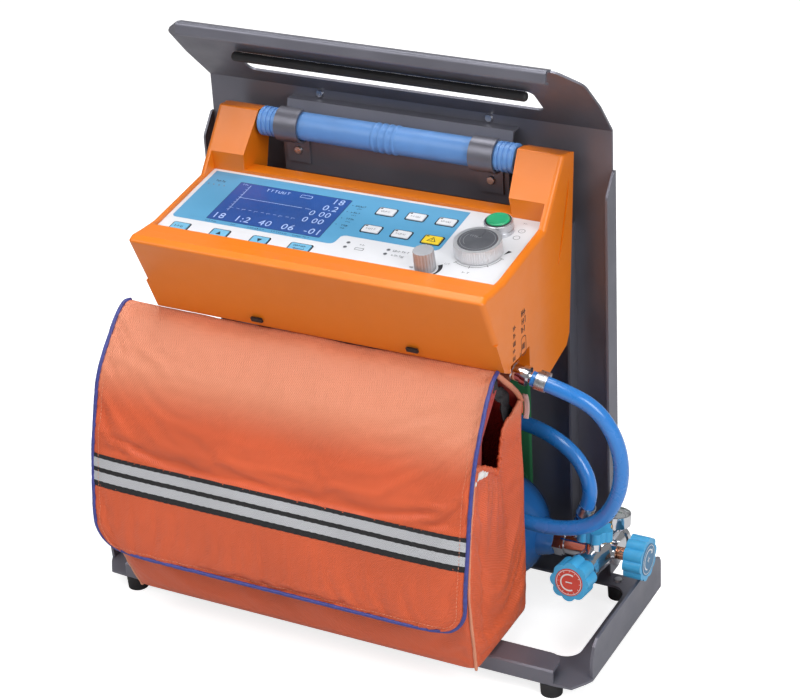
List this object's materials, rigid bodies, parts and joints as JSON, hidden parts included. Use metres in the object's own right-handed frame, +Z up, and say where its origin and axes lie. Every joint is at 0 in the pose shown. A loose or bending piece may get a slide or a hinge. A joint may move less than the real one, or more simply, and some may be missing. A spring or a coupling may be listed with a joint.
{
  "type": "mechanical ventilator",
  "caption": "Portable gas-driven ventilator console hung on a grey carrying rack, with a gas cylinder, pressure reducer, supply hose and an orange accessory bag.",
  "frame": {"origin": "centre of the footprint on the floor plane, below the middle of the object", "axes": "+X to the operator's right, +Y to the back plate, +Z up"},
  "size_m": [0.4894, 0.237, 0.5159],
  "materials": {
    "rack_grey": "fine-texture powder coat, satin",
    "black_rubber": "matt",
    "orange_shell": "semi-gloss",
    "panel_white": "satin printed film",
    "clear_window": "clear over blue display",
    "lcd_blue": "dark blue display",
    "key_blue": "satin",
    "key_white": "satin",
    "key_yellow": "satin",
    "green_cap": "gloss",
    "silver_ring": "satin anodised",
    "knob_dark": "satin",
    "knob_silver": "knurled, satin",
    "knob_grey": "satin",
    "board_green": "solder mask",
    "battery_wrap": "shrink wrap",
    "manifold_alu": "machined",
    "black_plastic": "satin",
    "grip_blue": "satin moulded rubber",
    "steel": "zinc plated",
    "chrome": "polished",
    "brass": "satin",
    "copper_stem": "satin",
    "cylinder_blue": "gloss lacquer",
    "strap_green": "woven webbing",
    "wheel_blue": "semi-gloss",
    "label_red": "printed disc",
    "label_dark": "printed disc",
    "gauge_white": "printed dial",
    "gauge_glass": "clear",
    "hose_blue": "gloss hose",
    "bag_orange": "coated woven polyester"
  },
  "bodies": {
    "rack": {"back_plate": "rack_grey", "carry_flange": "rack_grey", "slot_grip": "black_rubber", "centre_channel": "rack_grey", "hook_rail": "rack_grey", "grip_hooks": "rack_grey", "base_frame": "rack_grey", "feet": "black_rubber", "screws": "steel", "casing_upper": "orange_shell", "casing_lower": "orange_shell", "control_panel": "panel_white", "lcd_window": "clear_window", "lcd_module": "lcd_blue", "switch_bezel": "silver_ring", "panel_modules": "black_plastic", "main_board": "board_green", "battery_pack": "battery_wrap", "gas_manifold": "manifold_alu", "loudspeaker": "black_plastic", "patient_outlet": "black_plastic", "inlet_fitting": "chrome", "grip_core": "steel", "grip_sleeve": "grip_blue", "gas_cylinder": "cylinder_blue", "cylinder_straps": "strap_green", "valve_nut": "chrome", "reducer_body": "chrome", "outlet_fitting": "chrome", "relief_valve": "brass", "gauge_case": "chrome", "gauge_dial": "gauge_white", "gauge_lens": "gauge_glass", "bag_body": "bag_orange", "gas_hose": "hose_blue", "hose_clamps": "steel"},
    "switch_cap": {"switch_cap": "green_cap"},
    "dial_large": {"dial_large": "knob_silver", "dial_large_cap": "knob_dark"},
    "dial_small": {"dial_small": "knob_grey"},
    "valve_wheel": {"valve_wheel": "wheel_blue", "valve_wheel_disc": "label_dark", "valve_spindle": "copper_stem"},
    "outlet_knob": {"outlet_knob": "wheel_blue", "outlet_knob_disc": "label_red", "outlet_spindle": "chrome"},
    "flow_knob": {"flow_knob": "wheel_blue"},
    "gauge_pointer": {"gauge_pointer": "black_plastic"},
    "bag_flap": {"bag_flap": "bag_orange"},
    "key_set": {"key_set": "key_blue"},
    "key_up": {"key_up": "key_blue"},
    "key_down": {"key_down": "key_blue"},
    "key_confirm": {"key_confirm": "key_blue"},
    "key_mode_1": {"key_mode_1": "key_white"},
    "key_mode_2": {"key_mode_2": "key_white"},
    "key_mode_3": {"key_mode_3": "key_white"},
    "key_mode_4": {"key_mode_4": "key_white"},
    "key_mode_5": {"key_mode_5": "key_white"},
    "key_alarm": {"key_alarm": "key_yellow"}
  },
  "joints": [
    {"name": "key_set_press", "type": "slide", "parent": "rack", "child": "key_set", "axis": [0, 0.1345, -0.9909], "range_m": [0, 0.0009], "stiffness_N_per_m": 300, "springref_m": -0.0005},
    {"name": "key_up_press", "type": "slide", "parent": "rack", "child": "key_up", "axis": [0, 0.1345, -0.9909], "range_m": [0, 0.0009], "stiffness_N_per_m": 300, "springref_m": -0.0005},
    {"name": "key_down_press", "type": "slide", "parent": "rack", "child": "key_down", "axis": [0, 0.1345, -0.9909], "range_m": [0, 0.0009], "stiffness_N_per_m": 300, "springref_m": -0.0005},
    {"name": "key_confirm_press", "type": "slide", "parent": "rack", "child": "key_confirm", "axis": [0, 0.1345, -0.9909], "range_m": [0, 0.0009], "stiffness_N_per_m": 300, "springref_m": -0.0005},
    {"name": "key_mode_1_press", "type": "slide", "parent": "rack", "child": "key_mode_1", "axis": [0, 0.1345, -0.9909], "range_m": [0, 0.0009], "stiffness_N_per_m": 300, "springref_m": -0.0005},
    {"name": "key_mode_2_press", "type": "slide", "parent": "rack", "child": "key_mode_2", "axis": [0, 0.1345, -0.9909], "range_m": [0, 0.0009], "stiffness_N_per_m": 300, "springref_m": -0.0005},
    {"name": "key_mode_3_press", "type": "slide", "parent": "rack", "child": "key_mode_3", "axis": [0, 0.1345, -0.9909], "range_m": [0, 0.0009], "stiffness_N_per_m": 300, "springref_m": -0.0005},
    {"name": "key_mode_4_press", "type": "slide", "parent": "rack", "child": "key_mode_4", "axis": [0, 0.1345, -0.9909], "range_m": [0, 0.0009], "stiffness_N_per_m": 300, "springref_m": -0.0005},
    {"name": "key_mode_5_press", "type": "slide", "parent": "rack", "child": "key_mode_5", "axis": [0, 0.1345, -0.9909], "range_m": [0, 0.0009], "stiffness_N_per_m": 300, "springref_m": -0.0005},
    {"name": "key_alarm_press", "type": "slide", "parent": "rack", "child": "key_alarm", "axis": [0, 0.1345, -0.9909], "range_m": [0, 0.0009], "stiffness_N_per_m": 300, "springref_m": -0.0005},
    {"name": "switch_press", "type": "slide", "parent": "rack", "child": "switch_cap", "axis": [0, 0.1345, -0.9909], "range_m": [0, 0.0025], "stiffness_N_per_m": 500, "springref_m": -0.0008},
    {"name": "dial_large_turn", "type": "hinge", "parent": "rack", "child": "dial_large", "pos_m": [0.12125, 0.0011, 0.36799], "axis": [0, -0.1345, 0.9909], "range_deg": [-150, 150]},
    {"name": "dial_small_turn", "type": "hinge", "parent": "rack", "child": "dial_small", "pos_m": [0.08965, -0.0325, 0.36343], "axis": [0, -0.1345, 0.9909], "range_deg": [-135, 135]},
    {"name": "valve_wheel_turn", "type": "hinge", "parent": "rack", "child": "valve_wheel", "pos_m": [0.23505, 0.0605, 0.07], "axis": [1, 0, 0], "range_deg": [0, 720]},
    {"name": "outlet_knob_turn", "type": "hinge", "parent": "rack", "child": "outlet_knob", "pos_m": [0.20205, -0.00562, 0.08083], "axis": [0, -0.9869, 0.1616], "range_deg": [0, 270]},
    {"name": "flow_knob_turn", "type": "hinge", "parent": "rack", "child": "flow_knob", "pos_m": [0.20205, 0.03904, 0.09986], "axis": [0, 0.1616, 0.9869], "range_deg": [0, 300]},
    {"name": "gauge_pointer_turn", "type": "hinge", "parent": "rack", "child": "gauge_pointer", "pos_m": [0.20205, 0.08403, 0.08996], "axis": [0, -0.1616, -0.9869], "range_deg": [0, 250]},
    {"name": "bag_flap_lift", "type": "hinge", "parent": "rack", "child": "bag_flap", "pos_m": [-0.00295, -0.044, 0.286], "axis": [-1, 0, 0], "range_deg": [0, 55]}
  ]
}
